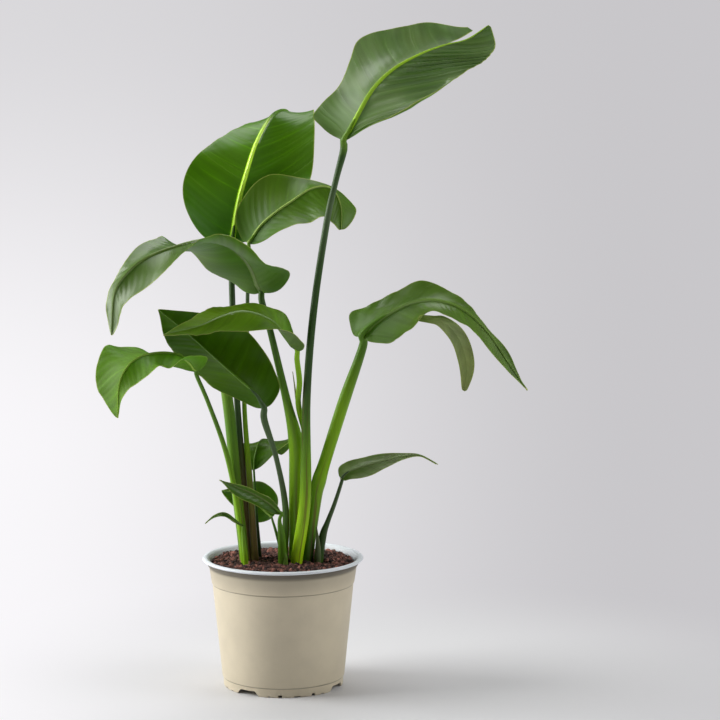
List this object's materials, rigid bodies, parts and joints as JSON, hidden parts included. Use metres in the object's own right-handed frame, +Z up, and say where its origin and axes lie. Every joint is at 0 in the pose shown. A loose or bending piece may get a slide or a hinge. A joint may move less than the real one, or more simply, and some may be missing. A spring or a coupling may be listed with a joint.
{
  "type": "potted bird of paradise",
  "caption": "Bird of paradise house plant with long-stalked arching paddle leaves, standing in soil in a round tapered nursery pot.",
  "frame": {"origin": "middle of the pot's base, on the surface that the pot stands on", "axes": "+Z up, +X to the right in the picture, -Y towards the viewer"},
  "size_m": [0.4906, 0.3232, 0.7776],
  "materials": {
    "pot": "moulded beige-taupe plastic with a fine satin sheen",
    "soil": "loose reddish-brown granules, matte",
    "leaf": "waxy mid-green leaf, glossy above and paler matte green below",
    "leaf_dark": "waxy dark green leaf",
    "leaf_young": "waxy yellow-green young leaf"
  },
  "bodies": {
    "root": {"pot": "pot", "soil": "soil", "leaf_top": "leaf", "leaf_rear_broad": "leaf", "leaf_rear_small": "leaf", "leaf_left_high": "leaf", "leaf_left_low": "leaf_young", "leaf_middle_dark": "leaf_dark", "leaf_front_long": "leaf", "leaf_right": "leaf", "leaf_small_right": "leaf", "leaf_small_rear": "leaf", "leaf_small_left": "leaf", "leaf_small_low": "leaf", "leaf_tiny_curled": "leaf", "leaf_young_rolled": "leaf_young"}
  },
  "joints": []
}
